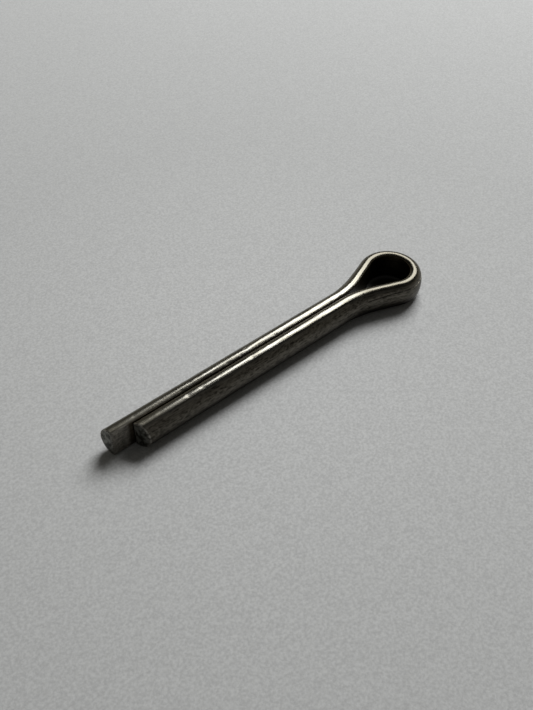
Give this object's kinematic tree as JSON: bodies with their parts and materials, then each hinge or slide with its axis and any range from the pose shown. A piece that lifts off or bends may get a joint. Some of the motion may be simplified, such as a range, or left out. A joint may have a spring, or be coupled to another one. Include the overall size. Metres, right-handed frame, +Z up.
{
  "type": "split cotter pin",
  "caption": "Split cotter pin folded from half-round steel wire, with a teardrop eye and two straight legs of unequal length that make a round shank.",
  "frame": {"origin": "on the shank axis, where the legs start to spread into the eye", "axes": "+X along the shank towards the leg ends, +Z up with the pin lying on its side, the eye's hole along Z"},
  "size_m": [0.0515, 0.0092, 0.005],
  "materials": {
    "steel": "dark oiled drawn steel"
  },
  "bodies": {
    "root": {"split_pin": "steel"}
  },
  "joints": []
}
